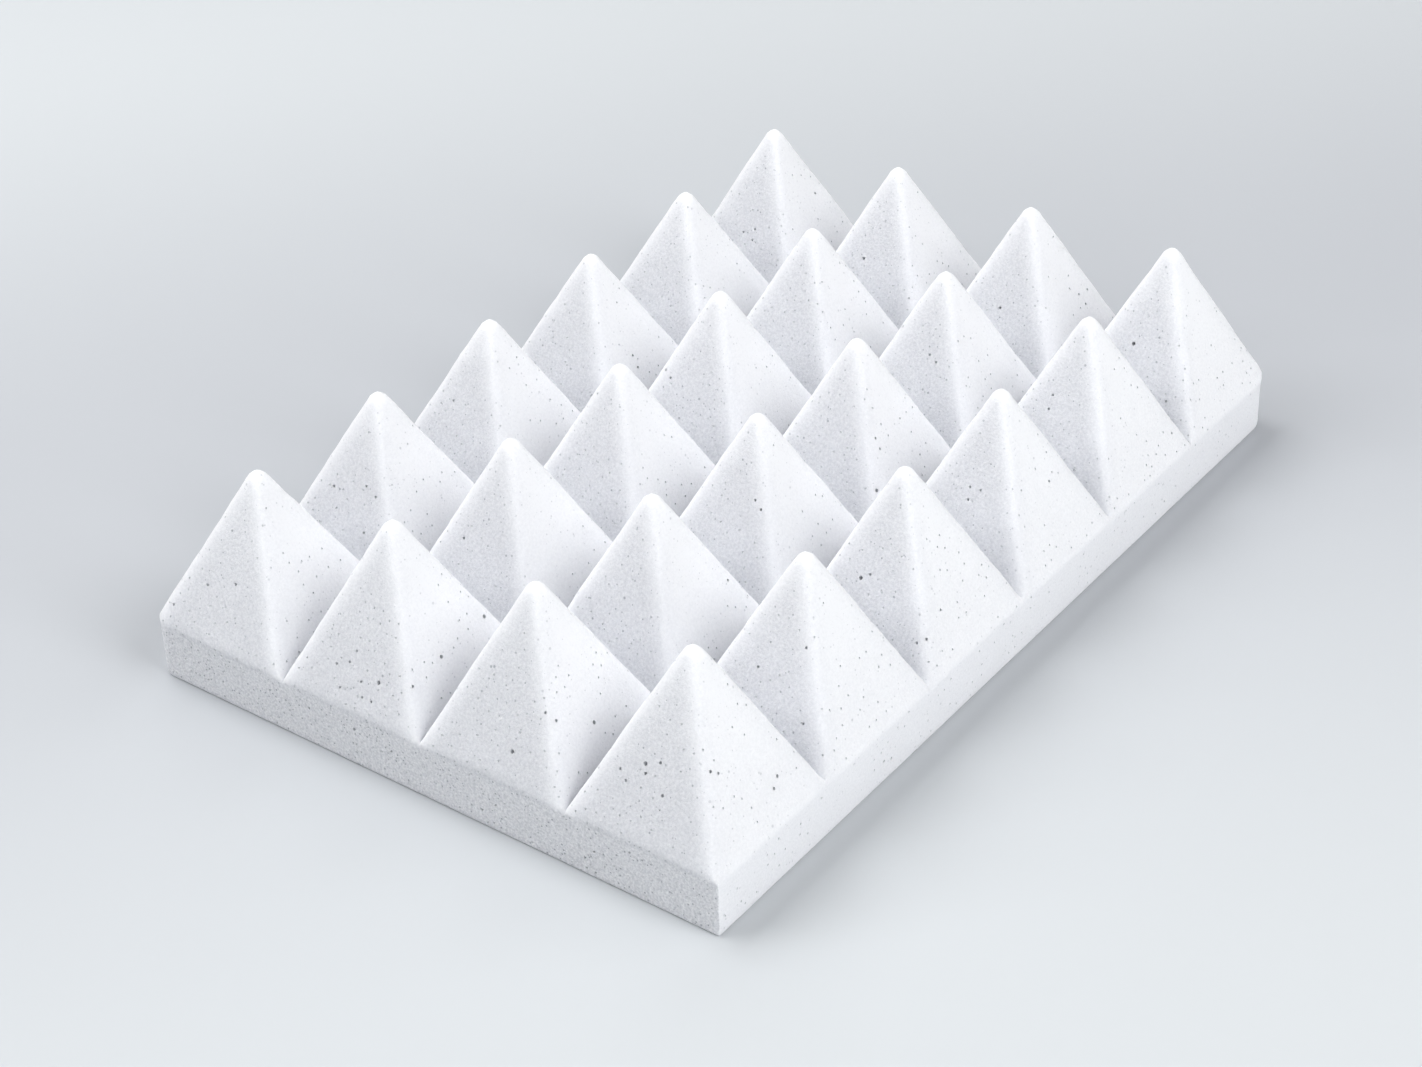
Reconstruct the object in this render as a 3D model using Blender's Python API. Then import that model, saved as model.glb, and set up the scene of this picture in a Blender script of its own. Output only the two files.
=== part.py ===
"""White pyramid foam mat that soaks up sound: one block of open-cell foam, with rows of
pyramids standing on a flat slab.

Metres, +Z up. The origin is at the middle of the flat back, which lies on the surface.
+X runs along the mat's long side and +Y along its short side.
"""

import math

import bmesh
import bpy
from mathutils import Matrix, Vector

MAT_NAME = "foam_mat"

# Driving sizes
COLUMNS = 6
ROWS = 4
PYRAMID_PITCH = 0.050
# From the valleys to the point where the four flat faces would meet.
PYRAMID_HEIGHT = 0.053
SLAB_THICKNESS = 0.018
# Every ridge, and so every tip, is rounded by this radius.
RIDGE_RADIUS = 0.003
# Cut off at both short sides, where the mat was parted from a longer sheet.
END_TRIM = 0.0005
CORNER_RADIUS = 0.0015
BACK_EDGE_RADIUS = 0.0008

# How finely the rounded places are cut into flat faces
RIDGE_STEPS = 6
CORNER_STEPS = 4
BACK_EDGE_STEPS = 2
# Where faces meet at more than this angle, in degrees, the shading keeps a crisp line.
CRISP_ANGLE = 24

# Fits worked out from the driving sizes
MAT_LENGTH = COLUMNS * PYRAMID_PITCH - 2 * END_TRIM
MAT_WIDTH = ROWS * PYRAMID_PITCH
# A rounded ridge lies under the sharp one, so each pyramid is first made deeper than its
# cell and is then cut to it.
FOOT_DEPTH = RIDGE_RADIUS
SAME_POINT = 0.00001

FOAM_COLOUR = (0.86, 0.87, 0.89, 1.0)
FOAM_ROUGHNESS = 0.95


def clear_scene():
    for thing in list(bpy.data.objects):
        bpy.data.objects.remove(thing, do_unlink=True)


def foam_material():
    """Matte white open-cell foam."""
    material = bpy.data.materials.new("white_foam")
    material.use_nodes = True
    shader = material.node_tree.nodes["Principled BSDF"]
    shader.inputs["Base Color"].default_value = FOAM_COLOUR
    shader.inputs["Roughness"].default_value = FOAM_ROUGHNESS
    shader.inputs["Metallic"].default_value = 0.0
    return material


def cut_away(shape, point, outward):
    """Removes all that lies beyond a plane."""
    bmesh.ops.bisect_plane(
        shape,
        geom=shape.verts[:] + shape.edges[:] + shape.faces[:],
        dist=SAME_POINT,
        plane_co=point,
        plane_no=outward,
        clear_outer=True,
    )


def ridge_bevel_offset():
    """How far from a sharp ridge, along its two faces, the rounding starts."""
    half_pitch = PYRAMID_PITCH / 2
    face_normal_x = Vector((PYRAMID_HEIGHT, 0.0, half_pitch)).normalized()
    face_normal_y = Vector((0.0, PYRAMID_HEIGHT, half_pitch)).normalized()
    turn = face_normal_x.angle(face_normal_y)
    return RIDGE_RADIUS * math.tan(turn / 2)


def add_pyramid_top(sheet):
    """Adds one pyramid's rounded faces over its own square cell, centred on the origin."""
    slope = PYRAMID_HEIGHT / (PYRAMID_PITCH / 2)
    foot_half_width = PYRAMID_PITCH / 2 + FOOT_DEPTH / slope
    full_height = PYRAMID_HEIGHT + FOOT_DEPTH
    middle = SLAB_THICKNESS - FOOT_DEPTH + full_height / 2
    bmesh.ops.create_cone(
        sheet,
        cap_ends=False,
        segments=4,
        radius1=foot_half_width * math.sqrt(2),
        radius2=0.0,
        depth=full_height,
        matrix=Matrix.Translation((0, 0, middle)) @ Matrix.Rotation(math.radians(45), 4, "Z"),
    )
    bmesh.ops.remove_doubles(sheet, verts=sheet.verts[:], dist=SAME_POINT)
    ridges = [edge for edge in sheet.edges if not edge.is_boundary]
    bmesh.ops.bevel(
        sheet,
        geom=ridges,
        offset=ridge_bevel_offset(),
        offset_type="OFFSET",
        segments=RIDGE_STEPS,
        profile=0.5,
        affect="EDGES",
    )
    half = PYRAMID_PITCH / 2
    for outward in (Vector((1, 0, 0)), Vector((-1, 0, 0)), Vector((0, 1, 0)), Vector((0, -1, 0))):
        cut_away(sheet, outward * half, outward)


def repeat_over_mat(sheet):
    """Copies the one pyramid over every cell and joins neighbours along their valleys."""
    first = sheet.verts[:] + sheet.edges[:] + sheet.faces[:]
    for column in range(COLUMNS):
        for row in range(ROWS):
            place = Vector((
                (column - (COLUMNS - 1) / 2) * PYRAMID_PITCH,
                (row - (ROWS - 1) / 2) * PYRAMID_PITCH,
                0.0,
            ))
            copied = bmesh.ops.duplicate(sheet, geom=first)["geom"]
            moved = [item for item in copied if isinstance(item, bmesh.types.BMVert)]
            bmesh.ops.translate(sheet, verts=moved, vec=place)
    bmesh.ops.delete(sheet, geom=[item for item in first if isinstance(item, bmesh.types.BMVert)])
    bmesh.ops.remove_doubles(sheet, verts=sheet.verts[:], dist=SAME_POINT)


def cut_outline(sheet):
    """Trims the short sides and rounds the four upright corners."""
    for side in (-1, 1):
        cut_away(sheet, Vector((side * MAT_LENGTH / 2, 0, 0)), Vector((side, 0, 0)))
    for side_x in (-1, 1):
        for side_y in (-1, 1):
            centre = Vector((
                side_x * (MAT_LENGTH / 2 - CORNER_RADIUS),
                side_y * (MAT_WIDTH / 2 - CORNER_RADIUS),
                0.0,
            ))
            for step in range(CORNER_STEPS):
                angle = math.radians(90) * (step + 0.5) / CORNER_STEPS
                outward = Vector((side_x * math.cos(angle), side_y * math.sin(angle), 0.0))
                cut_away(sheet, centre + outward * CORNER_RADIUS, outward)


def add_slab(sheet):
    """Draws the outline down to the flat back and rounds the back's edge."""
    rim = [edge for edge in sheet.edges if edge.is_boundary]
    walls = bmesh.ops.extrude_edge_only(sheet, edges=rim)["geom"]
    for item in walls:
        if isinstance(item, bmesh.types.BMVert):
            item.co.z = 0.0
    lowest = [edge for edge in sheet.edges if edge.is_boundary]
    bmesh.ops.edgeloop_fill(sheet, edges=lowest)
    bmesh.ops.recalc_face_normals(sheet, faces=sheet.faces[:])
    bmesh.ops.bevel(
        sheet,
        geom=lowest,
        offset=BACK_EDGE_RADIUS,
        offset_type="OFFSET",
        segments=BACK_EDGE_STEPS,
        profile=0.5,
        affect="EDGES",
    )


def make_foam_mat():
    sheet = bmesh.new()
    add_pyramid_top(sheet)
    repeat_over_mat(sheet)
    cut_outline(sheet)
    add_slab(sheet)
    mesh = bpy.data.meshes.new(MAT_NAME)
    sheet.to_mesh(mesh)
    sheet.free()
    mesh.materials.append(foam_material())
    mesh.shade_smooth()
    mesh.set_sharp_from_angle(angle=math.radians(CRISP_ANGLE))
    return bpy.data.objects.new(MAT_NAME, mesh)


def main():
    clear_scene()
    collection = bpy.data.collections.new("pyramid_foam_mat")
    bpy.context.scene.collection.children.link(collection)
    collection.objects.link(make_foam_mat())


main()
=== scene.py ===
"""Studio picture of a white pyramid foam mat that soaks up sound.

Metres, +Z up, in the CAD frame: the origin is at the middle of the flat back, +X runs along
the long side and +Y along the short side.
"""

import math
import random

import bmesh
import bpy
from mathutils import Matrix, Vector
from mathutils.kdtree import KDTree


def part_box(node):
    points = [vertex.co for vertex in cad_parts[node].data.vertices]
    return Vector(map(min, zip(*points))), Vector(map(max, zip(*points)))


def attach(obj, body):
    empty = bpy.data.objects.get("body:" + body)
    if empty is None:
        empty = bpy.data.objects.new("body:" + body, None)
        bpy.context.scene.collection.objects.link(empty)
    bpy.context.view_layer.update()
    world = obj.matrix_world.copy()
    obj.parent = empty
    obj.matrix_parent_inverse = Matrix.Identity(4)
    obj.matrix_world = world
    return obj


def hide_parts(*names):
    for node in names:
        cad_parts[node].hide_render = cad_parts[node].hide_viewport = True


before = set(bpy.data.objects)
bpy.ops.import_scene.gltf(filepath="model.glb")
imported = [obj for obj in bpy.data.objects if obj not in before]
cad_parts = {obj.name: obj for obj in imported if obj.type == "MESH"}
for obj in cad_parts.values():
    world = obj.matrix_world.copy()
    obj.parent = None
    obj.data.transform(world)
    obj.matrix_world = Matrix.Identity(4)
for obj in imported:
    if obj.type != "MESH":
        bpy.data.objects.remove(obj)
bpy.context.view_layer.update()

MILLIMETRE = 0.001

# The mat's layout, worked out from the frame's solid and the counts of pyramids
NODE = "foam_mat"
COLUMNS = 6
ROWS = 4
mat_low, mat_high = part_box(NODE)
PITCH = (mat_high.y - mat_low.y) / ROWS
SLAB_THICKNESS = 18 * MILLIMETRE
PYRAMID_HEIGHT = 53 * MILLIMETRE
BACK_EDGE_RADIUS = 0.8 * MILLIMETRE
# The front upright corner is crisp, and the other three are worn round.
CORNER_ROUND = 0.5 * MILLIMETRE
WORN_CORNER_RADIUS = 5 * MILLIMETRE
ROUNDING_STEPS = 2
SAME_POINT = 0.01 * MILLIMETRE

# The mesh: triangles along one foot edge of a pyramid, about 1.7 mm each, rows of them up the
# sides above the last strip, and the squares of the back
FACES_PER_FOOT = 30
ROWS_UP_SIDE = 9
LAST_STRIP = 2 * MILLIMETRE
BACK_SQUARE = 10 * MILLIMETRE
# Faces that turn by more than this from their neighbours keep a crisp edge, as the valleys do.
CRISP_ANGLE = math.radians(60)
# A vertex lies in a flat place where all its faces look its own way, as the cosine of the angle.
FLAT_ENOUGH = 0.97
# What y and z count for beside x when a mesh is sorted by place. They are odd shares, so that no
# two parts come out level.
SORT_BY_Y = 0.618
SORT_BY_Z = 0.414

CHANCE_SEED = 4
# What makes the cut foam uneven: waves across the faces, as (name, width, height)
WAVES = (
    ("blade_waves", 14 * MILLIMETRE, 0.6 * MILLIMETRE),
    ("cell_lumps", 4 * MILLIMETRE, 0.25 * MILLIMETRE),
)
# How far a vertex is moved about within its own face, on the cut faces and on the back
STRAY = 0.3 * MILLIMETRE
BACK_STRAY = BACK_SQUARE / 4
# How far the tips stray, sideways and up or down
TIP_LEAN = 0.5 * MILLIMETRE
TIP_RISE = 0.3 * MILLIMETRE
# All but the last tip of the rear row stand lower than the rest.
REAR_ROW_SINK = 2.0 * MILLIMETRE

# The biggest pores of the faces that the photograph shows, by place in millimetres
BIG_PORE_RADIUS = 0.68 * MILLIMETRE
BIG_PORE_DEPTH = 2.2 * MILLIMETRE
BIG_PORES = (
    (-140.6, -71.2, 37.8),
    (-145.4, -31.2, 27.8),
    (-145.3, 17.1, 28.0),
    (-41.1, -71.4, 37.0),
    (110.0, -71.4, 39.2),
)
MIDDLE_PORE_RADIUS = 0.5 * MILLIMETRE
MIDDLE_PORE_DEPTH = 1.3 * MILLIMETRE
MIDDLE_PORES = (
    (-141.5, -72.8, 35.0),
    (-139.7, -75.4, 39.8),
    (-142.5, -78.5, 33.0),
    (-90.7, -71.3, 37.8),
    (-118.8, -96.1, 26.2),
    (-117.0, -95.0, 28.4),
    (-90.2, 82.1, 38.7),
    (-89.9, 31.4, 39.5),
    (-140.9, 72.9, 37.4),
    (-142.8, 82.6, 33.3),
    (109.2, -24.3, 37.5),
    (-149.5, 40.0, 11.8),
)
# The rest lie anywhere, as (radius, depth, steps down the wall, how many, how many lie together)
STREWN_PORES = (
    (0.60 * MILLIMETRE, 1.6 * MILLIMETRE, 2, 18, 1),
    (0.46 * MILLIMETRE, 0.9 * MILLIMETRE, 2, 180, 3),
    (0.34 * MILLIMETRE, 0.3 * MILLIMETRE, 1, 3000, 3),
)
PORE_GROUP_SPREAD = 5 * MILLIMETRE
BACK_PORES = 120
# The pores' walls have the second material slot, and the cut faces have the first.
PORE = 1
# A pore needs this many of its radii of free foam on every side.
ROOM_FOR_PORE = 1.3
# Faces that look along the short side hold this share of the pores of the others.
SHARE_ON_CLOSED = 0.45
# Down a pyramid the share of spots that may hold a pore grows by the first value over the whole
# height. The second is taken off it, so that the tip stays closed.
PORES_DOWN_PYRAMID = 1.6
PORES_OFF_TIP = 0.2
# How much narrower a pore is at its bottom, and how ragged its rim, as shares of its radius
PORE_TAPER = 0.3
PORE_RAGGED = 0.1

# The foam's look. The sides' look begins in this band of height, just below the valleys.
SIDES_BELOW = 18.5 * MILLIMETRE
SIDES_FULL_BELOW = 16.5 * MILLIMETRE
# A face starts to look torn, and to take the painted shade of the faces across the mat, where its
# normal's X passes the first value, fully at the second.
TURNED_ACROSS_FROM = 0.6
TURNED_ACROSS_FULL = 0.88
# The torn look and its painted shade fade in over this width beside a ridge, which leaves painted
# glow along the ridges of the faces across the mat. Over the same width the ridges are painted
# duller as shade.
RIDGE_FADE = 8 * MILLIMETRE
# How torn the foam is, for the speckle and for a darker tone that is painted shade on the faces
# across the mat: all of it, what the faces across the mat add, and the short sides besides
TORN_ALL = 0.4
TORN_AND_SHADED_ACROSS = 0.48
TORN_SHORT_SIDE = 0.8
# The small pores in the material, as (one to a cell of this size, radius, share of cells with one)
FINE_PORES = (1.3 * MILLIMETRE, 0.38 * MILLIMETRE, 0.6)
COARSE_PORES = (3.2 * MILLIMETRE, 0.55 * MILLIMETRE, 0.7)
# The part of a small pore's radius that lies at its full depth
SMALL_PORE_BOTTOM = 0.45
# Cell walls are about a tenth of a millimetre, too fine to show, so the grain is drawn coarser.
GRAIN = 0.8 * MILLIMETRE
PORE_WALL_GRAIN = 0.5 * MILLIMETRE
# The tone runs from the dull skin at 0 to the pale skin at 1. FACE_TONE is that of the ridges,
# which are painted a touch duller as shade. It rises past them and up the tips, where the rise is
# painted glow, and falls the more the foam is torn, which is painted shade on the faces across the
# mat. The sides' tone is painted shade too, lower on the short sides.
DULL_SKIN = "#C6C8CE"
PALE_SKIN = "#EEEFF2"
# Painted shade: the mouths of the small pores take this darker colour.
SMALL_PORE_SHADE_COLOUR = "#A9ADB3"
# Painted shade, on top of what their depth makes: the walls of the open pores are darker than the
# skin.
PORE_WALL_DARK = "#C0C3C8"
PORE_WALL_PALE = "#DEE0E3"
FACE_TONE = 1.09
RIDGE_PAINTED_SHADE = 0.15
TORN_PAINTED_SHADE = 0.90
TIP_GLOW_FROM = 28 * MILLIMETRE
TIP_GLOW_TO = 68 * MILLIMETRE
TIP_PAINTED_GLOW = 0.22
SIDE_SHADED_TONE = 0.68
SHORT_SIDE_PAINTED_SHADE = 0.10
MOTTLE = 1.6
# Relief of the grain and, as a share of it, of the small pores
BUMP_HEIGHT = 0.4 * MILLIMETRE
SMALL_PORE_RELIEF = 0.3
# How far light wanders in the foam, low down and high up, and the heights between which it changes
WANDER_LOW = 4 * MILLIMETRE
WANDER_HIGH = 1.5 * MILLIMETRE
WANDER_CHANGES_FROM = 20 * MILLIMETRE
WANDER_CHANGES_TO = 45 * MILLIMETRE

# The camera stands where the photograph's did.
CAMERA_PLACE = Vector((-0.5824, -0.4273, 0.4923))
CAMERA_FORWARD = Vector((0.66083, 0.49846, -0.56111))
CAMERA_RIGHT = Vector((0.58964, -0.80734, -0.02277))
SENSOR_WIDTH = 36.0
LENS = 72.14

# The walls: their colour, what they give as light, and how pale the camera sees them
WALL_COLOUR = "#F5F7FA"
WALL_LIGHT = 0.02
WALL_SEEN = 0.8
FLOOR_SIZE = 8.0
FLOOR_GAP = 0.1 * MILLIMETRE
# The floor has painted shade in a long oval about the mat: its middle, its turn in radians and its
# half lengths
OVAL_MIDDLE = (0.299, -0.157, 0.0)
OVAL_TURN = -0.731
OVAL_REACH = (2.65, 0.354, 1.0)
OVAL_SHADE_COLOUR = "#B5B8BD"
FLOOR_COLOUR = "#C9CDD0"
# From where to where the floor fades into the walls
FLOOR_CLEAR = 0.55
FLOOR_GONE = 1.3
# The lamps, as (name, degrees round from +X towards +Y, degrees above the floor, size, watts)
LAMP_DISTANCE = 2.2
LAMPS = (
    ("rear_lamp", 90, 60, 1.3, 24.4),
    ("rear_right_lamp", 45, 42, 1.3, 7.5),
    ("rear_left_lamp", 135, 42, 1.3, 22.0),
    ("left_lamp", 180, 28, 1.3, 4.0),
    ("camera_lamp", 225, 12, 0.8, 8.1),
    ("long_side_lamp", 270, 42, 1.3, 27.4),
    ("low_lamp", 270, 12, 0.8, 3.6),
    ("right_lamp", 315, 42, 1.3, 7.7),
)


def linear(colour):
    """An sRGB hex colour as linear red, green, blue and alpha."""
    channels = [int(colour[i:i + 2], 16) / 255 for i in (1, 3, 5)]
    return (
        *(c / 12.92 if c <= 0.04045 else ((c + 0.055) / 1.055) ** 2.4 for c in channels),
        1.0,
    )


def add_node(tree, kind, settings=None, links=None):
    """Adds a node. settings holds its properties and input values, and links its inputs' sources.
    An input is given by its name, or by its number where the node has several of one name."""
    node = tree.nodes.new(kind)
    for name, value in (settings or {}).items():
        if isinstance(name, str) and hasattr(node, name):
            setattr(node, name, value)
        else:
            node.inputs[name].default_value = value
    for name, source in (links or {}).items():
        tree.links.new(source, node.inputs[name])
    return node


def new_material(name):
    """A material with a Principled shader. Returns the material, its tree and the shader."""
    material = bpy.data.materials.new(name)
    material.use_nodes = True
    tree = material.node_tree
    return material, tree, tree.nodes["Principled BSDF"]


# Working on a mesh


def take(thing):
    """Makes an object the only one selected and the active one."""
    bpy.ops.object.select_all(action="DESELECT")
    thing.select_set(True)
    bpy.context.view_layer.objects.active = thing


def edit(thing):
    """Enters edit mode on an object, with nothing selected in it."""
    take(thing)
    bpy.ops.object.mode_set(mode="EDIT")
    bpy.ops.mesh.select_all(action="DESELECT")


def leave_edit():
    """Goes back to object mode."""
    bpy.ops.object.mode_set(mode="OBJECT")


def select_where(thing, kind, test):
    """In edit mode, selects the vertices, edges or faces for which the test is true."""
    bpy.ops.mesh.select_all(action="DESELECT")
    bpy.ops.mesh.select_mode(type=kind)
    shape = bmesh.from_edit_mesh(thing.data)
    for item in {"VERT": shape.verts, "EDGE": shape.edges, "FACE": shape.faces}[kind]:
        if test(item):
            item.select_set(True)
    shape.select_flush_mode()
    bmesh.update_edit_mesh(thing.data)


def put_in_order(shape):
    """Sorts a mesh by place. A bevel leaves it in another order each run, and what is picked by
    chance follows that order."""
    def rank(place):
        return place.x + SORT_BY_Y * place.y + SORT_BY_Z * place.z

    shape.verts.sort(key=lambda vert: rank(vert.co))
    shape.edges.sort(key=lambda edge: rank(edge.verts[0].co + edge.verts[1].co))
    shape.faces.sort(key=lambda face: rank(face.calc_center_median()))


def apply_modifier(thing, kind, **settings):
    """Adds a modifier to an object and applies it."""
    take(thing)
    modifier = thing.modifiers.new(kind.title(), kind)
    for name, value in settings.items():
        setattr(modifier, name, value)
    bpy.ops.object.modifier_apply(modifier=modifier.name)


# The foam mat


def make_pyramid():
    """One sharp pyramid on the first cell, its four faces cut into small triangles."""
    bpy.ops.object.select_all(action="DESELECT")
    bpy.ops.mesh.primitive_cone_add(
        vertices=4,
        radius1=PITCH / 2 * math.sqrt(2),
        radius2=0.0,
        depth=PYRAMID_HEIGHT,
        end_fill_type="NOTHING",
        rotation=(0.0, 0.0, math.radians(45)),
        location=(
            (1 - COLUMNS) / 2 * PITCH,
            (1 - ROWS) / 2 * PITCH,
            SLAB_THICKNESS + PYRAMID_HEIGHT / 2,
        ),
    )
    pyramid = bpy.context.active_object
    bpy.ops.object.transform_apply(location=True, rotation=True, scale=True)
    edit(pyramid)
    bpy.ops.mesh.select_all(action="SELECT")
    bpy.ops.mesh.subdivide(number_cuts=FACES_PER_FOOT - 1)
    leave_edit()
    return pyramid


def repeat_pyramid(mat):
    """Copies the pyramid over every cell and joins neighbours along their valleys."""
    for count, step in ((COLUMNS, (PITCH, 0, 0)), (ROWS, (0, PITCH, 0))):
        apply_modifier(
            mat,
            "ARRAY",
            count=count,
            use_relative_offset=False,
            use_constant_offset=True,
            constant_offset_displace=step,
            use_merge_vertices=True,
            merge_threshold=SAME_POINT,
        )


def draw_down_sides(mat):
    """Draws the outer feet down to just above the back, in rows of triangles."""
    edit(mat)
    select_where(mat, "EDGE", lambda edge: edge.is_boundary)
    step = (SLAB_THICKNESS - LAST_STRIP) / ROWS_UP_SIDE
    for _ in range(ROWS_UP_SIDE):
        bpy.ops.mesh.extrude_edges_move(TRANSFORM_OT_translate={"value": (0, 0, -step)})
    select_where(mat, "FACE", lambda face: len(face.verts) == 4)
    bpy.ops.mesh.quads_convert_to_tris(quad_method="FIXED")
    leave_edit()


def fit_to_frame(mat):
    """Draws the sharp shape onto the frame's solid, which rounds its ridges and tips. The front
    corner stays as crisp as the blade left it, and only comes in to the mat's own length."""
    edit(mat)
    select_where(mat, "VERT", is_at_front_corner)
    own_length = mat_high.x / (COLUMNS * PITCH / 2)
    bpy.ops.transform.resize(value=(own_length, 1, 1), center_override=(0, 0, 0))
    leave_edit()
    corner = [vert.index for vert in mat.data.vertices if vert.select]
    rounded = mat.vertex_groups.new(name="rounded")
    rounded.add(list(range(len(mat.data.vertices))), 1.0, "REPLACE")
    rounded.remove(corner)
    apply_modifier(
        mat,
        "SHRINKWRAP",
        target=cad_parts[NODE],
        wrap_method="NEAREST_SURFACEPOINT",
        vertex_group=rounded.name,
    )
    edit(mat)
    select_where(mat, "EDGE", lambda edge: all(vert.index in corner for vert in edge.verts))
    bpy.ops.mesh.bevel(offset=CORNER_ROUND, segments=ROUNDING_STEPS, profile=0.5)
    leave_edit()


def is_at_front_corner(vert):
    """True on the upright edge nearest to the camera, where two sides meet."""
    return (
        abs(vert.co.x + COLUMNS * PITCH / 2) < SAME_POINT
        and abs(vert.co.y + ROWS * PITCH / 2) < SAME_POINT
    )


def wear_corners(mat):
    """Brings the three far upright corners in to a round."""
    for side_x, side_y in ((-1, 1), (1, -1), (1, 1)):
        middle = Vector((
            side_x * (mat_high.x - WORN_CORNER_RADIUS),
            side_y * (mat_high.y - WORN_CORNER_RADIUS),
        ))
        for vert in mat.data.vertices:
            out = vert.co.xy - middle
            if out.x * side_x > 0 and out.y * side_y > 0 and out.length > WORN_CORNER_RADIUS:
                vert.co.xy = middle + out.normalized() * WORN_CORNER_RADIUS


def close_back(mat):
    """Adds the last strip of the sides and the flat back, and rounds the edge between them."""
    edit(mat)
    select_where(mat, "EDGE", lambda edge: edge.is_boundary)
    bpy.ops.mesh.extrude_edges_move(TRANSFORM_OT_translate={"value": (0, 0, -LAST_STRIP)})
    bpy.ops.transform.resize(value=(1, 1, 0), center_override=(0, 0, 0))
    bpy.ops.mesh.edge_face_add()
    for size, low, across in (
        (mat_high.x - mat_low.x, mat_low.x, Vector((1, 0, 0))),
        (mat_high.y - mat_low.y, mat_low.y, Vector((0, 1, 0))),
    ):
        squares = round(size / BACK_SQUARE)
        for cut in range(1, squares):
            select_where(mat, "FACE", is_back)
            bpy.ops.mesh.bisect(plane_co=across * (low + size * cut / squares), plane_no=across)
    bpy.ops.mesh.select_all(action="SELECT")
    bpy.ops.mesh.normals_make_consistent(inside=False)
    select_where(mat, "EDGE", is_back_rim)
    bpy.ops.mesh.bevel(offset=BACK_EDGE_RADIUS, segments=ROUNDING_STEPS, profile=0.5)
    leave_edit()


def is_back(face):
    """True on the flat back."""
    return all(vert.co.z < SAME_POINT for vert in face.verts)


def is_back_rim(edge):
    """An edge of the back that is also an edge of a side."""
    low = all(vert.co.z < SAME_POINT for vert in edge.verts)
    return low and not all(map(is_back, edge.link_faces))


def stray_vertices(mat, rng):
    """Moves the vertices about in their own flat faces, so that pores don't stand in rows."""
    shape = bmesh.new()
    shape.from_mesh(mat.data)
    put_in_order(shape)
    shape.normal_update()
    for vert in shape.verts:
        on_back = vert.co.z < SAME_POINT
        reach = BACK_STRAY if on_back else STRAY
        nudge = Vector([rng.uniform(-reach, reach) for _ in range(3)])
        if is_in_flat(vert) and is_off_rim(vert):
            vert.co += nudge - nudge.project(vert.normal)
    shape.to_mesh(mat.data)
    shape.free()


def is_in_flat(vert):
    """True where the faces round a vertex lie nearly in one plane."""
    return all(face.normal.dot(vert.normal) > FLAT_ENOUGH for face in vert.link_faces)


def is_off_rim(vert):
    """True away from the rounded edge of the back, on the sides and on the back alike."""
    if vert.co.z > SAME_POINT:
        return vert.co.z > LAST_STRIP / 2
    margin = BACK_SQUARE / 2
    return abs(vert.co.x) < mat_high.x - margin and abs(vert.co.y) < mat_high.y - margin


def make_uneven(mat):
    """Raises and lowers the cut faces a little. The back stays flat. The group is known by its
    name alone, because each applied modifier renews the mat's groups."""
    group = "cut_faces"
    above_back = [vert.index for vert in mat.data.vertices if vert.co.z > LAST_STRIP / 2]
    mat.vertex_groups.new(name=group).add(above_back, 1.0, "REPLACE")
    for name, width, height in WAVES:
        texture = bpy.data.textures.new(name, "CLOUDS")
        texture.noise_scale = width
        apply_modifier(
            mat,
            "DISPLACE",
            texture=texture,
            texture_coords="LOCAL",
            strength=height,
            mid_level=0.5,
            vertex_group=group,
        )


def settle_tips(mat, rng):
    """Leans each pyramid a little its own way, most at the tip, and lowers the rear row."""
    leans = {}
    for row in range(ROWS):
        for column in range(COLUMNS):
            reaches = (TIP_LEAN, TIP_LEAN, TIP_RISE)
            lean = Vector([rng.uniform(-reach, reach) for reach in reaches])
            if row == ROWS - 1 and column < COLUMNS - 1:
                lean.z -= REAR_ROW_SINK
            leans[column, row] = lean
    for vert in mat.data.vertices:
        share = (vert.co.z - SLAB_THICKNESS) / PYRAMID_HEIGHT
        if share > 0:
            column = min(max(int(vert.co.x / PITCH + COLUMNS / 2), 0), COLUMNS - 1)
            row = min(max(int(vert.co.y / PITCH + ROWS / 2), 0), ROWS - 1)
            vert.co += leans[column, row] * share


def pore_spots(shape, radius, on_back):
    """Vertices with room round them for a pore, none beside another pore."""
    spots = []
    for vert in shape.verts:
        if (vert.co.z < SAME_POINT) != on_back or not is_in_flat(vert) or not is_off_rim(vert):
            continue
        if any(face.material_index == PORE for face in vert.link_faces):
            continue
        if min(edge.calc_length() for edge in vert.link_edges) > ROOM_FOR_PORE * radius:
            spots.append(vert)
    return spots


def tree_of(spots):
    """A tree that finds the spots near a place."""
    tree = KDTree(len(spots))
    for number, vert in enumerate(spots):
        tree.insert(vert.co, number)
    tree.balance()
    return tree


def spots_nearest(spots, places):
    """The spot nearest to each place given in millimetres."""
    tree = tree_of(spots)
    return [spots[tree.find(Vector(place) * MILLIMETRE)[1]] for place in places]


def pore_chance(vert):
    """The share of spots that may hold a pore: the short sides and the faces that look the same
    way are the most open, and a tip holds none."""
    turned = 1.0 if abs(vert.normal.x) > abs(vert.normal.y) else SHARE_ON_CLOSED
    below_tip = (SLAB_THICKNESS + PYRAMID_HEIGHT - vert.co.z) / PYRAMID_HEIGHT
    return turned * min(max(PORES_DOWN_PYRAMID * below_tip - PORES_OFF_TIP, 0.0), 1.0)


def spots_by_chance(spots, count, together, rng):
    """Picks at least count spots by chance, in groups of up to so many together, and never two
    side by side."""
    tree = tree_of(spots)
    chosen, taken = [], set()
    while len(chosen) < count:
        first = rng.choice(spots)
        if rng.random() > pore_chance(first):
            continue
        near = [spots[found[1]] for found in tree.find_range(first.co, PORE_GROUP_SPREAD)]
        for vert in [first] + rng.sample(near, min(rng.randrange(together), len(near))):
            if vert not in taken:
                chosen.append(vert)
                taken.add(vert)
                taken.update(edge.other_vert(vert) for edge in vert.link_edges)
    return chosen


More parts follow.
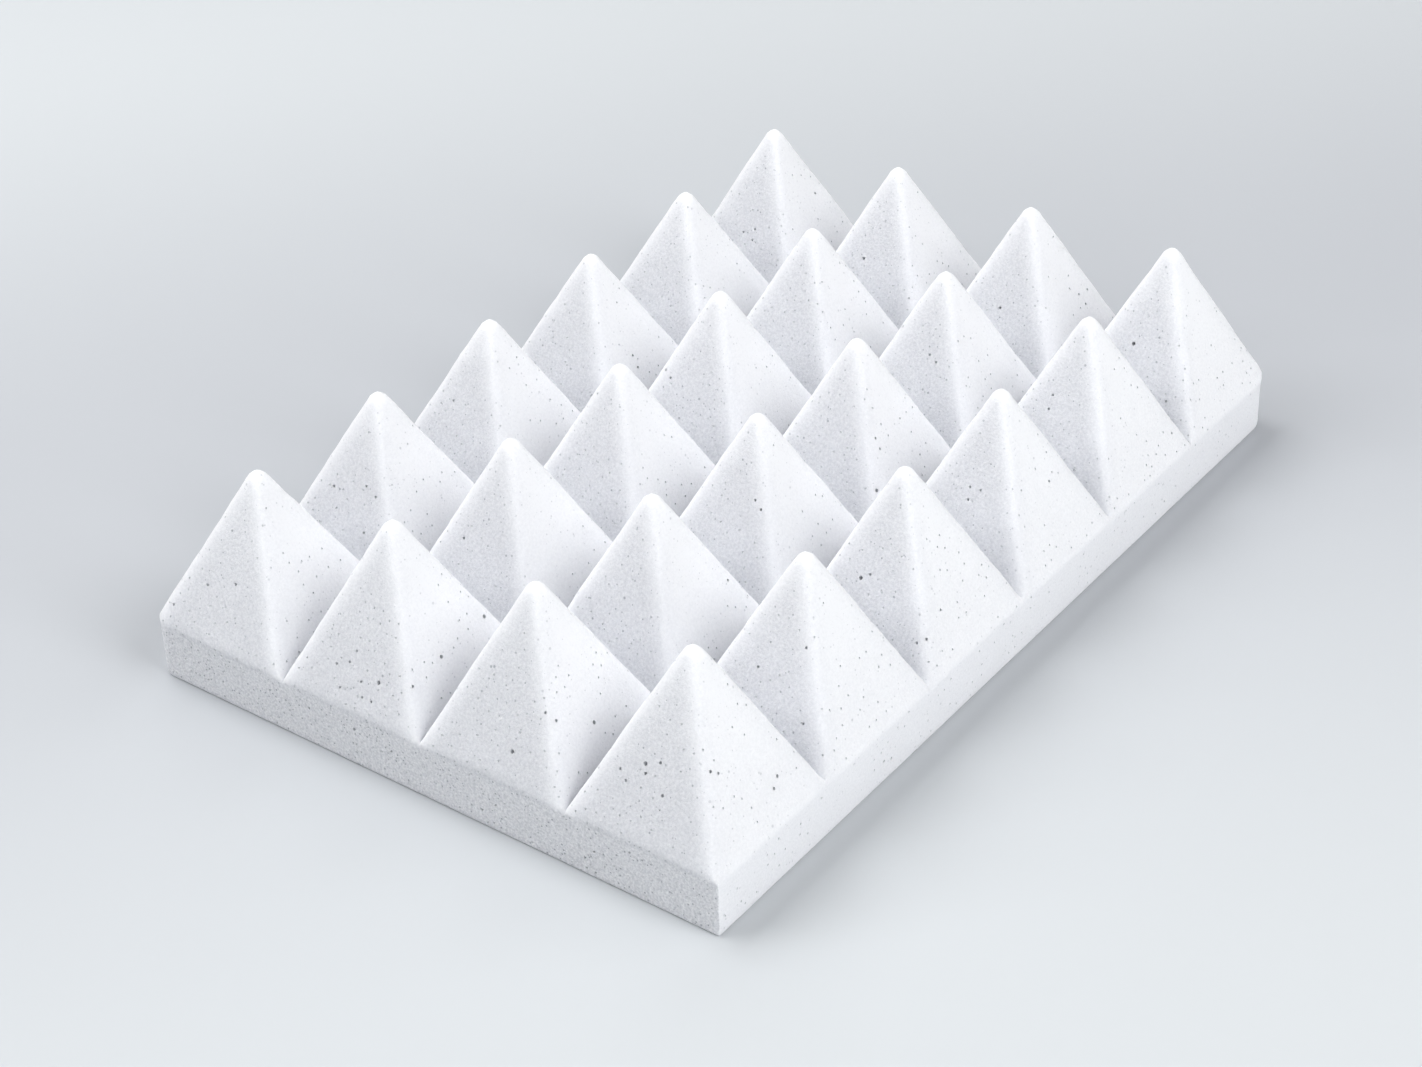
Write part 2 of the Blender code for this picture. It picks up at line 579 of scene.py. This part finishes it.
def open_pores(mat, radius, depth, choose, steps=2, on_back=False):
    """Opens round pores: a ring cut round each chosen vertex, then pushed in by steps. On the back
    only four edges meet at a vertex, so its rings need a corner more between them."""
    edit(mat)
    bpy.ops.mesh.select_mode(type="VERT")
    shape = bmesh.from_edit_mesh(mat.data)
    for vert in choose(pore_spots(shape, radius, on_back)):
        vert.select_set(True)
    shape.select_flush_mode()
    bmesh.update_edit_mesh(mat.data)
    corners = 2 if on_back else 1
    bpy.ops.mesh.bevel(affect="VERTICES", offset=radius, segments=corners, profile=0.5)
    bpy.ops.mesh.select_mode(type="FACE")
    mat.active_material_index = PORE
    bpy.ops.object.material_slot_assign()
    taper = PORE_TAPER * radius / steps
    for _ in range(steps):
        bpy.ops.mesh.inset(thickness=taper, depth=-depth / steps, use_individual=True)
    put_in_order(bmesh.from_edit_mesh(mat.data))
    bmesh.update_edit_mesh(mat.data)
    bpy.ops.transform.vertex_random(offset=PORE_RAGGED * radius, seed=1)
    leave_edit()


def open_all_pores(mat, rng):
    """Opens the pores seen in the photograph, then the strewn ones, and last those of the back."""
    for radius, depth, places in (
        (BIG_PORE_RADIUS, BIG_PORE_DEPTH, BIG_PORES),
        (MIDDLE_PORE_RADIUS, MIDDLE_PORE_DEPTH, MIDDLE_PORES),
    ):
        open_pores(mat, radius, depth, lambda spots: spots_nearest(spots, places))
    for radius, depth, steps, count, together in STREWN_PORES:
        def strewn(spots):
            return spots_by_chance(spots, count, together, rng)

        open_pores(mat, radius, depth, strewn, steps)
    open_pores(
        mat,
        MIDDLE_PORE_RADIUS,
        MIDDLE_PORE_DEPTH,
        lambda spots: spots_by_chance(spots, BACK_PORES, 1, rng),
        on_back=True,
    )


def make_mat():
    """The whole mat, from one pyramid to the last pore."""
    rng = random.Random(CHANCE_SEED)
    mat = make_pyramid()
    mat.name = "foam_block"
    repeat_pyramid(mat)
    draw_down_sides(mat)
    fit_to_frame(mat)
    wear_corners(mat)
    close_back(mat)
    stray_vertices(mat, rng)
    make_uneven(mat)
    settle_tips(mat, rng)
    mat.data.materials.append(foam_material())
    mat.data.materials.append(pore_material())
    open_all_pores(mat, rng)
    take(mat)
    bpy.ops.object.shade_smooth_by_angle(angle=CRISP_ANGLE)
    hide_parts(NODE)
    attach(mat, "root")


# Materials


def add_small_pores(tree, place, cell, radius, share):
    """How deep a spot lies in a small pore, 0 to 1. Pores are spheres strewn through the foam,
    about one to a cell of that size, which the cut face opens. share is the part of the cells
    that hold one."""
    cells = add_node(
        tree,
        "ShaderNodeTexVoronoi",
        {"voronoi_dimensions": "3D", "feature": "F1", "Scale": 1 / cell, "Randomness": 1.0},
        {"Vector": place},
    )
    chance = add_node(tree, "ShaderNodeSeparateColor", links={"Color": cells.outputs["Color"]})
    edge = add_node(
        tree,
        "ShaderNodeMapRange",
        {"From Min": 1 - share, "From Max": 1.0, "To Min": 0.0, "To Max": radius / cell},
        {"Value": chance.outputs["Red"]},
    )
    bottom = add_node(
        tree,
        "ShaderNodeMath",
        {"operation": "MULTIPLY", 1: SMALL_PORE_BOTTOM},
        {0: edge.outputs["Result"]},
    )
    depth = add_node(
        tree,
        "ShaderNodeMapRange",
        {"interpolation_type": "SMOOTHSTEP", "To Min": 1.0, "To Max": 0.0},
        {
            "Value": cells.outputs["Distance"],
            "From Min": bottom.outputs["Value"],
            "From Max": edge.outputs["Result"],
        },
    )
    return depth.outputs["Result"]


def foam_material():
    """White open-cell foam, cut with a blade: quite matte, speckled with the mouths of small
    pores, which are painted darker as shade, and faintly see-through, so that thin edges and tips
    glow. The tips get painted glow on top. The short sides, and the faces that look the same way,
    were torn open more than the others, so their speckle is stronger. Those faces are also painted
    darker as shade, except close to their ridges, which leaves painted glow there; the sides have
    a painted shade tone of their own, and the ridges are painted a touch duller as shade."""
    material, tree, shader = new_material("open_cell_foam")
    coordinates = add_node(tree, "ShaderNodeTexCoord")
    place = coordinates.outputs["Object"]
    spot = add_node(tree, "ShaderNodeSeparateXYZ", links={0: place})
    facing = add_node(tree, "ShaderNodeSeparateXYZ", links={0: coordinates.outputs["Normal"]})
    on_side = add_node(
        tree,
        "ShaderNodeMapRange",
        {"From Min": SIDES_BELOW, "From Max": SIDES_FULL_BELOW},
        {"Value": spot.outputs["Z"]},
    )
    across = add_node(tree, "ShaderNodeMath", {"operation": "ABSOLUTE"}, {0: facing.outputs["X"]})
    is_across = add_node(
        tree,
        "ShaderNodeMapRange",
        {"interpolation_type": "SMOOTHSTEP", "From Min": TURNED_ACROSS_FROM, "From Max": TURNED_ACROSS_FULL},
        {"Value": across.outputs["Value"]},
    )
    # The torn look fades out before the ridges, and with it the painted shade of the faces across
    # the mat, which leaves painted glow along their ridges.
    in_cell = [
        add_node(
            tree,
            "ShaderNodeMath",
            {"operation": "PINGPONG", 1: PITCH / 2},
            {0: spot.outputs[axis]},
        ).outputs["Value"]
        for axis in ("X", "Y")
    ]
    off_ridge = add_node(
        tree,
        "ShaderNodeMath",
        {"operation": "SUBTRACT"},
        {0: in_cell[0], 1: in_cell[1]},
    )
    from_ridge = add_node(
        tree,
        "ShaderNodeMath",
        {"operation": "ABSOLUTE"},
        {0: off_ridge.outputs["Value"]},
    )
    past_ridge = add_node(
        tree,
        "ShaderNodeMapRange",
        {"interpolation_type": "SMOOTHSTEP", "From Max": RIDGE_FADE},
        {"Value": from_ridge.outputs["Value"]},
    )
    clear_of_ridges = add_node(
        tree,
        "ShaderNodeMath",
        {"operation": "MAXIMUM"},
        {0: past_ridge.outputs["Result"], 1: on_side.outputs["Result"]},
    )
    cut_across = add_node(
        tree,
        "ShaderNodeMath",
        {"operation": "MULTIPLY"},
        {0: is_across.outputs["Result"], 1: clear_of_ridges.outputs["Value"]},
    )
    more = add_node(
        tree,
        "ShaderNodeMath",
        {"operation": "MULTIPLY_ADD", 1: TORN_SHORT_SIDE, 2: TORN_AND_SHADED_ACROSS},
        {0: on_side.outputs["Result"]},
    )
    torn_and_shaded = add_node(
        tree,
        "ShaderNodeMath",
        {"operation": "MULTIPLY_ADD", 2: TORN_ALL},
        {0: cut_across.outputs["Value"], 1: more.outputs["Value"]},
    )
    fine = add_small_pores(tree, place, *FINE_PORES)
    coarse = add_small_pores(tree, place, *COARSE_PORES)
    either = add_node(tree, "ShaderNodeMath", {"operation": "MAXIMUM"}, {0: fine, 1: coarse})
    pores = add_node(
        tree,
        "ShaderNodeMath",
        {"operation": "MULTIPLY"},
        {0: either.outputs["Value"], 1: torn_and_shaded.outputs["Value"]},
    )
    grain = add_node(
        tree,
        "ShaderNodeTexNoise",
        {"Scale": 1 / GRAIN, "Detail": 3.0, "Roughness": 0.7},
        {"Vector": place},
    )
    centred = add_node(
        tree,
        "ShaderNodeMath",
        {"operation": "SUBTRACT", 1: 0.5},
        {0: grain.outputs["Fac"]},
    )
    uneven = add_node(
        tree,
        "ShaderNodeMath",
        {"operation": "MULTIPLY"},
        {0: centred.outputs["Value"], 1: torn_and_shaded.outputs["Value"]},
    )
    # Painted glow: the tips are painted paler upwards, for the light that comes through their thin
    # foam.
    painted_tip_glow = add_node(
        tree,
        "ShaderNodeMapRange",
        {"From Min": TIP_GLOW_FROM, "From Max": TIP_GLOW_TO, "To Min": 0.0, "To Max": TIP_PAINTED_GLOW},
        {"Value": spot.outputs["Z"]},
    )
    # Painted shade: the tone falls the more the foam is torn, which darkens the faces across the
    # mat, and the sides get a painted shade tone of their own, lower on the short sides. The
    # ridges are painted a touch duller as shade.
    by_ridge = add_node(
        tree,
        "ShaderNodeMath",
        {"operation": "MULTIPLY_ADD", 1: RIDGE_PAINTED_SHADE, 2: FACE_TONE},
        {0: past_ridge.outputs["Result"]},
    )
    shaded_face_tone = add_node(
        tree,
        "ShaderNodeMath",
        {"operation": "MULTIPLY_ADD", 1: -TORN_PAINTED_SHADE},
        {0: torn_and_shaded.outputs["Value"], 2: by_ridge.outputs["Value"]},
    )
    faces = add_node(
        tree,
        "ShaderNodeMath",
        {"operation": "ADD"},
        {0: painted_tip_glow.outputs["Result"], 1: shaded_face_tone.outputs["Value"]},
    )
    # Painted shade: the sides' own tone, lower on the short sides.
    sides = add_node(
        tree,
        "ShaderNodeMath",
        {"operation": "MULTIPLY_ADD", 1: -SHORT_SIDE_PAINTED_SHADE, 2: SIDE_SHADED_TONE},
        {0: is_across.outputs["Result"]},
    )
    tone = add_node(
        tree,
        "ShaderNodeMix",
        {"data_type": "FLOAT"},
        {0: on_side.outputs["Result"], 2: faces.outputs["Value"], 3: sides.outputs["Value"]},
    )
    mottle = add_node(
        tree,
        "ShaderNodeMath",
        {"operation": "MULTIPLY_ADD", 1: MOTTLE},
        {0: uneven.outputs["Value"], 2: tone.outputs[0]},
    )
    skin = add_node(
        tree,
        "ShaderNodeMix",
        {"data_type": "RGBA", 6: linear(DULL_SKIN), 7: linear(PALE_SKIN)},
        {0: mottle.outputs["Value"]},
    )
    # Painted shade in the mouths of the small pores.
    colour = add_node(
        tree,
        "ShaderNodeMix",
        {"data_type": "RGBA", 7: linear(SMALL_PORE_SHADE_COLOUR)},
        {0: pores.outputs["Value"], 6: skin.outputs[2]},
    )
    tree.links.new(colour.outputs[2], shader.inputs["Base Color"])
    relief = add_node(
        tree,
        "ShaderNodeMath",
        {"operation": "MULTIPLY_ADD", 1: -SMALL_PORE_RELIEF},
        {0: pores.outputs["Value"], 2: uneven.outputs["Value"]},
    )
    bump = add_node(
        tree,
        "ShaderNodeBump",
        {"Strength": 1.0, "Distance": BUMP_HEIGHT},
        {"Height": relief.outputs["Value"]},
    )
    tree.links.new(bump.outputs["Normal"], shader.inputs["Normal"])
    shader.inputs["Roughness"].default_value = 0.95
    shader.inputs["Specular IOR Level"].default_value = 0.1
    shader.inputs["Subsurface Weight"].default_value = 0.8
    shader.inputs["Subsurface Radius"].default_value = (1.0, 1.0, 1.0)
    # Low down the foam is thick, so the light wanders farther in it and softens the valleys.
    reach = add_node(
        tree,
        "ShaderNodeMapRange",
        {
            "From Min": WANDER_CHANGES_FROM,
            "From Max": WANDER_CHANGES_TO,
            "To Min": WANDER_LOW,
            "To Max": WANDER_HIGH,
        },
        {"Value": spot.outputs["Z"]},
    )
    on_slab = add_node(
        tree,
        "ShaderNodeMix",
        {"data_type": "FLOAT", 3: WANDER_HIGH},
        {0: on_side.outputs["Result"], 2: reach.outputs["Result"]},
    )
    tree.links.new(on_slab.outputs[0], shader.inputs["Subsurface Scale"])
    return material


def pore_material():
    """The walls of the open pores: the same foam, painted a little darker as shade in the pores,
    and with no glow, so that depth makes the rest of the shade."""
    material, tree, shader = new_material("open_pore_walls")
    place = add_node(tree, "ShaderNodeTexCoord").outputs["Object"]
    cells = add_node(
        tree,
        "ShaderNodeTexNoise",
        {"Scale": 1 / PORE_WALL_GRAIN, "Detail": 2.0},
        {"Vector": place},
    )
    colour = add_node(
        tree,
        "ShaderNodeMix",
        {"data_type": "RGBA", 6: linear(PORE_WALL_DARK), 7: linear(PORE_WALL_PALE)},
        {0: cells.outputs["Fac"]},
    )
    tree.links.new(colour.outputs[2], shader.inputs["Base Color"])
    shader.inputs["Roughness"].default_value = 1.0
    shader.inputs["Specular IOR Level"].default_value = 0.05
    return material


def floor_material():
    """Matte painted board with painted shade in a soft oval about the mat, so that it is darker
    there than towards the camera. Far from the mat the camera sees the pale of the walls on it, so
    that no horizon shows."""
    material, tree, shader = new_material("board_with_painted_shade")
    place = add_node(tree, "ShaderNodeTexCoord").outputs["Object"]
    turned = add_node(
        tree,
        "ShaderNodeMapping",
        {
            "vector_type": "TEXTURE",
            "Location": OVAL_MIDDLE,
            "Rotation": (0.0, 0.0, OVAL_TURN),
            "Scale": OVAL_REACH,
        },
        {"Vector": place},
    )
    away = add_node(
        tree,
        "ShaderNodeVectorMath",
        {"operation": "LENGTH"},
        {0: turned.outputs["Vector"]},
    )
    tone = add_node(
        tree,
        "ShaderNodeMapRange",
        {"interpolation_type": "SMOOTHSTEP"},
        {"Value": away.outputs["Value"]},
    )
    # Painted shade in the oval about the mat.
    colour = add_node(
        tree,
        "ShaderNodeMix",
        {"data_type": "RGBA", 6: linear(OVAL_SHADE_COLOUR), 7: linear(FLOOR_COLOUR)},
        {0: tone.outputs["Result"]},
    )
    tree.links.new(colour.outputs[2], shader.inputs["Base Color"])
    shader.inputs["Roughness"].default_value = 0.9
    shader.inputs["Specular IOR Level"].default_value = 0.1
    from_mat = add_node(tree, "ShaderNodeVectorMath", {"operation": "LENGTH"}, {0: place})
    far_off = add_node(
        tree,
        "ShaderNodeMapRange",
        {"interpolation_type": "SMOOTHSTEP", "From Min": FLOOR_CLEAR, "From Max": FLOOR_GONE},
        {"Value": from_mat.outputs["Value"]},
    )
    ray = add_node(tree, "ShaderNodeLightPath")
    seen = add_node(
        tree,
        "ShaderNodeMath",
        {"operation": "MULTIPLY"},
        {0: far_off.outputs["Result"], 1: ray.outputs["Is Camera Ray"]},
    )
    pale = add_node(
        tree,
        "ShaderNodeEmission",
        {"Color": linear(WALL_COLOUR), "Strength": WALL_SEEN},
    )
    fade = add_node(
        tree,
        "ShaderNodeMixShader",
        links={0: seen.outputs["Value"], 1: shader.outputs["BSDF"], 2: pale.outputs["Emission"]},
    )
    tree.links.new(fade.outputs["Shader"], tree.nodes["Material Output"].inputs["Surface"])
    return material


# The studio


def make_floor():
    """A wide floor a hair under the mat."""
    bpy.ops.object.select_all(action="DESELECT")
    bpy.ops.mesh.primitive_plane_add(size=FLOOR_SIZE, location=(0, 0, -FLOOR_GAP))
    floor = bpy.context.active_object
    floor.name = "floor"
    floor.data.materials.append(floor_material())


def make_camera():
    """The camera of the picture."""
    data = bpy.data.cameras.new("camera")
    data.sensor_width = SENSOR_WIDTH
    data.lens = LENS
    data.clip_start = 0.01
    data.clip_end = 20.0
    camera = bpy.data.objects.new("camera", data)
    forward = CAMERA_FORWARD.normalized()
    right = CAMERA_RIGHT.normalized()
    up = right.cross(forward)
    turn = Matrix((right, up, -forward)).transposed().to_4x4()
    camera.matrix_world = Matrix.Translation(CAMERA_PLACE) @ turn
    bpy.context.scene.collection.objects.link(camera)
    bpy.context.scene.camera = camera


def add_lamp(name, place, size, power):
    """A round soft lamp aimed at the middle of the mat."""
    data = bpy.data.lights.new(name, "AREA")
    data.shape = "DISK"
    data.size = size
    data.energy = power
    lamp = bpy.data.objects.new(name, data)
    lamp.visible_camera = False
    place = Vector(place)
    turn = place.to_track_quat("Z", "Y")
    lamp.matrix_world = Matrix.Translation(place) @ turn.to_matrix().to_4x4()
    bpy.context.scene.collection.objects.link(lamp)


def light_room():
    """Pale walls all round and eight soft lamps. The rear ones lay the shade in front of the long
    side."""
    world = bpy.data.worlds.new("studio")
    world.use_nodes = True
    tree = world.node_tree
    background = tree.nodes["Background"]
    background.inputs["Color"].default_value = linear(WALL_COLOUR)
    ray = add_node(tree, "ShaderNodeLightPath")
    strength = add_node(
        tree,
        "ShaderNodeMath",
        {"operation": "MULTIPLY_ADD", 1: WALL_SEEN - WALL_LIGHT, 2: WALL_LIGHT},
        {0: ray.outputs["Is Camera Ray"]},
    )
    tree.links.new(strength.outputs["Value"], background.inputs["Strength"])
    bpy.context.scene.world = world
    for name, turn, height, size, power in LAMPS:
        flat = LAMP_DISTANCE * math.cos(math.radians(height))
        place = (
            flat * math.cos(math.radians(turn)),
            flat * math.sin(math.radians(turn)),
            LAMP_DISTANCE * math.sin(math.radians(height)),
        )
        add_lamp(name, place, size, power)


bpy.context.scene.view_settings.view_transform = "Standard"
make_camera()
make_floor()
light_room()
make_mat()
